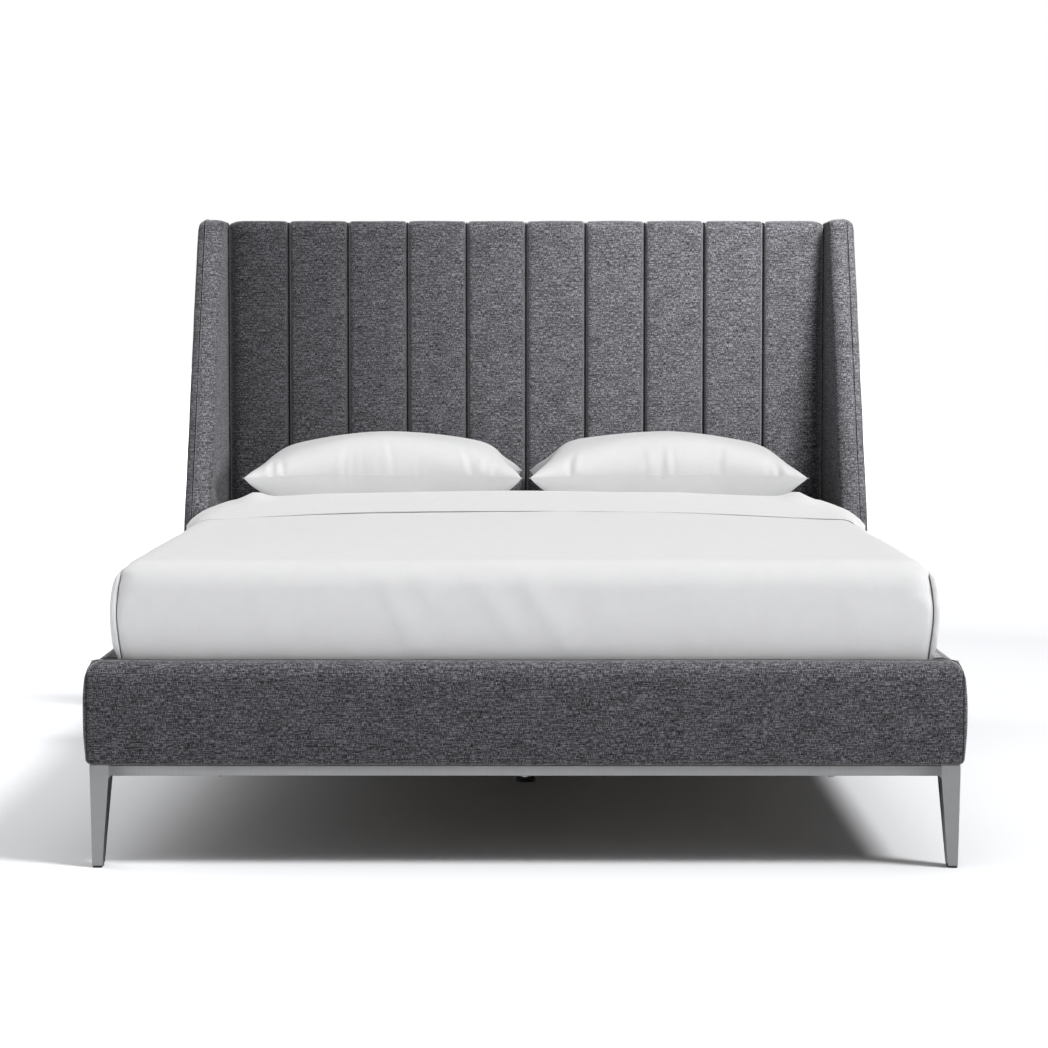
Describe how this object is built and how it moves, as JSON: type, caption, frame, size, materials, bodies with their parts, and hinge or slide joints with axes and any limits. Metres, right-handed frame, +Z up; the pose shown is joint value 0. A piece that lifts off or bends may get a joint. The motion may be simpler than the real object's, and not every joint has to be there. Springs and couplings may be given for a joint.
{
  "type": "upholstered bed",
  "caption": "Low bed with a vertically channelled upholstered headboard between sloping wings, padded rails, slim metal legs, mattress and white bedding.",
  "frame": {"origin": "on the floor, under the middle of the whole bed", "axes": "+Z up, -Y towards the foot, +Y towards the headboard, +X to the right as seen from the foot"},
  "size_m": [1.664, 2.201, 1.294],
  "materials": {
    "satin_steel": "satin grey powder coat",
    "zinc_steel": "zinc plated",
    "black_nylon": "matte",
    "slat_wood": "bare beech",
    "frame_wood": "bare pine and plywood",
    "back_cloth": "black dust cloth on board",
    "charcoal_weave": "heathered weave",
    "foam": "open cell foam",
    "mattress_knit": "knitted mattress cover",
    "white_cotton": "smooth cotton"
  },
  "bodies": {
    "frame": {"beam_hangers": "zinc_steel", "centre_beam": "frame_wood", "centre_leg": "satin_steel", "centre_leg_plug": "black_nylon", "channel_pad_01": "charcoal_weave", "channel_pad_02": "charcoal_weave", "channel_pad_03": "charcoal_weave", "channel_pad_04": "charcoal_weave", "channel_pad_05": "charcoal_weave", "channel_pad_06": "charcoal_weave", "channel_pad_07": "charcoal_weave", "channel_pad_08": "charcoal_weave", "channel_pad_09": "charcoal_weave", "channel_pad_10": "charcoal_weave", "foot_rail_core": "frame_wood", "foot_rail_cover": "charcoal_weave", "frame_bolts": "zinc_steel", "front_frame_bar": "satin_steel", "front_left_leg": "satin_steel", "front_right_leg": "satin_steel", "head_cross_rail": "frame_wood", "headboard_back_cover": "back_cloth", "headboard_battens": "frame_wood", "headboard_board": "frame_wood", "left_frame_bar": "satin_steel", "left_rail_core": "frame_wood", "left_rail_cover": "charcoal_weave", "left_wing_core": "frame_wood", "left_wing_cover": "charcoal_weave", "leg_glides": "black_nylon", "rail_brackets": "zinc_steel", "rear_frame_bar": "satin_steel", "rear_left_leg": "satin_steel", "rear_right_leg": "satin_steel", "right_frame_bar": "satin_steel", "right_rail_core": "frame_wood", "right_rail_cover": "charcoal_weave", "right_wing_core": "frame_wood", "right_wing_cover": "charcoal_weave", "slat_01": "slat_wood", "slat_02": "slat_wood", "slat_03": "slat_wood", "slat_04": "slat_wood", "slat_05": "slat_wood", "slat_06": "slat_wood", "slat_07": "slat_wood", "slat_08": "slat_wood", "slat_09": "slat_wood", "slat_10": "slat_wood", "slat_11": "slat_wood", "slat_ledges": "frame_wood", "wood_screws": "zinc_steel"},
    "levelling_foot": {"levelling_foot": "black_nylon"},
    "mattress": {"mattress_foam": "foam", "mattress_cover": "mattress_knit", "fitted_sheet": "white_cotton", "coverlet": "white_cotton", "turned_down_band": "white_cotton"},
    "left_pillow": {"left_pillow": "white_cotton"},
    "right_pillow": {"right_pillow": "white_cotton"}
  },
  "joints": [
    {"name": "levelling_foot_screw", "type": "slide", "parent": "frame", "child": "levelling_foot", "axis": [0, 0, -1], "range_m": [0, 0.02]},
    {"name": "mattress_lift", "type": "slide", "parent": "frame", "child": "mattress", "axis": [0, 0, 1], "range_m": [0, 0.35]},
    {"name": "left_pillow_lift", "type": "slide", "parent": "mattress", "child": "left_pillow", "axis": [0, 0, 1], "range_m": [0, 0.3]},
    {"name": "right_pillow_lift", "type": "slide", "parent": "mattress", "child": "right_pillow", "axis": [0, 0, 1], "range_m": [0, 0.3]}
  ]
}
